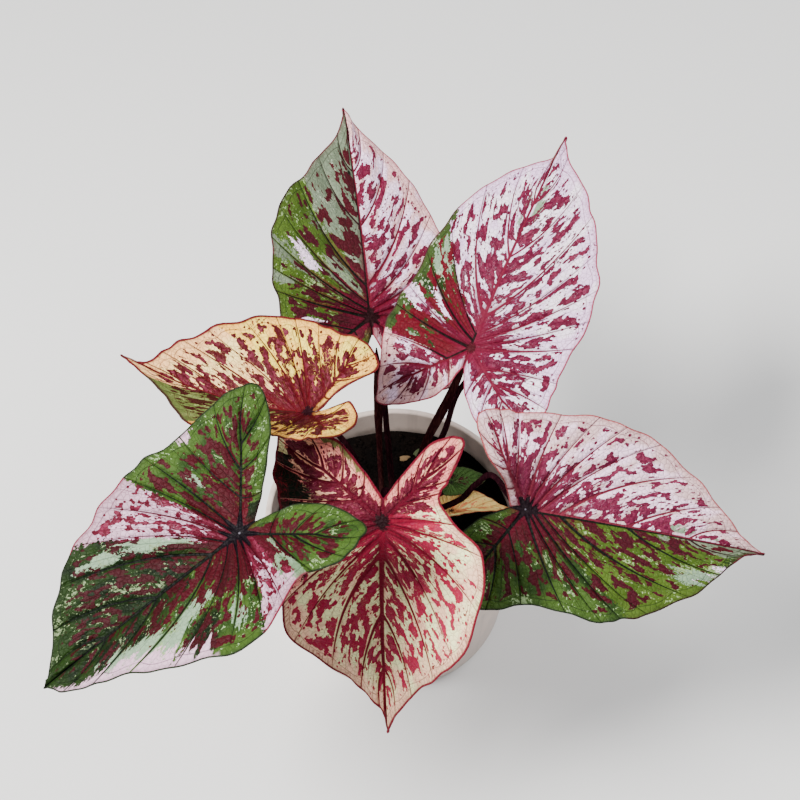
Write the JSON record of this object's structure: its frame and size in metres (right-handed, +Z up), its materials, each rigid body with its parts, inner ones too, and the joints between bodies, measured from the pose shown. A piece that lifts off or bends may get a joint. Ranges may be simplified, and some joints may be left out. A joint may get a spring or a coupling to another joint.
{
  "type": "potted caladium",
  "caption": "Caladium with large spotted arrow-shaped leaves on tall slender stalks, growing from a tuber in a round lipped plastic pot.",
  "frame": {"origin": "centre of the pot's flat foot, on the surface it stands on", "axes": "+Z up out of the pot, +Y towards the two tall back leaves, +X towards the leaf on the right"},
  "size_m": [0.3604, 0.3764, 0.3072],
  "materials": {
    "pot": "pale off-white moulded plastic, slightly worn",
    "soil": "dark damp crumbly potting soil",
    "tuber": "brown papery tuber skin",
    "leaf_pink_green": "thin satin leaf, green and pinkish white halves with crimson splotches",
    "leaf_lavender": "thin satin leaf, lavender white with magenta splotches and red veins",
    "leaf_yellow": "thin satin leaf, yellow cream with crimson splotches and red veins",
    "leaf_green_white": "thin satin leaf, green, white and mint sectors with maroon splotches",
    "leaf_cream": "thin satin leaf, cream with crimson splotches, veins and margin",
    "leaf_white_green": "thin satin leaf, one half greyish white, the other green, with red splotches",
    "small_leaf": "plain green young leaf",
    "fading_leaf": "yellowed wilting leaf",
    "petiole": "smooth dark purple-black stalk, satin",
    "young_leaf": "dark stalk ending in a rolled reddish green leaf"
  },
  "bodies": {
    "root": {"pot": "pot", "soil": "soil", "tuber": "tuber", "back_left_blade": "leaf_pink_green", "back_right_blade": "leaf_lavender", "left_blade": "leaf_yellow", "front_left_blade": "leaf_green_white", "front_blade": "leaf_cream", "right_blade": "leaf_white_green", "small_green_blade": "small_leaf", "fading_blade": "fading_leaf", "back_left_petiole": "petiole", "back_right_petiole": "petiole", "left_petiole": "petiole", "front_left_petiole": "petiole", "front_petiole": "petiole", "right_petiole": "petiole", "small_green_petiole": "petiole", "fading_petiole": "petiole", "young_leaf_left": "young_leaf", "young_leaf_right": "young_leaf"}
  },
  "joints": []
}
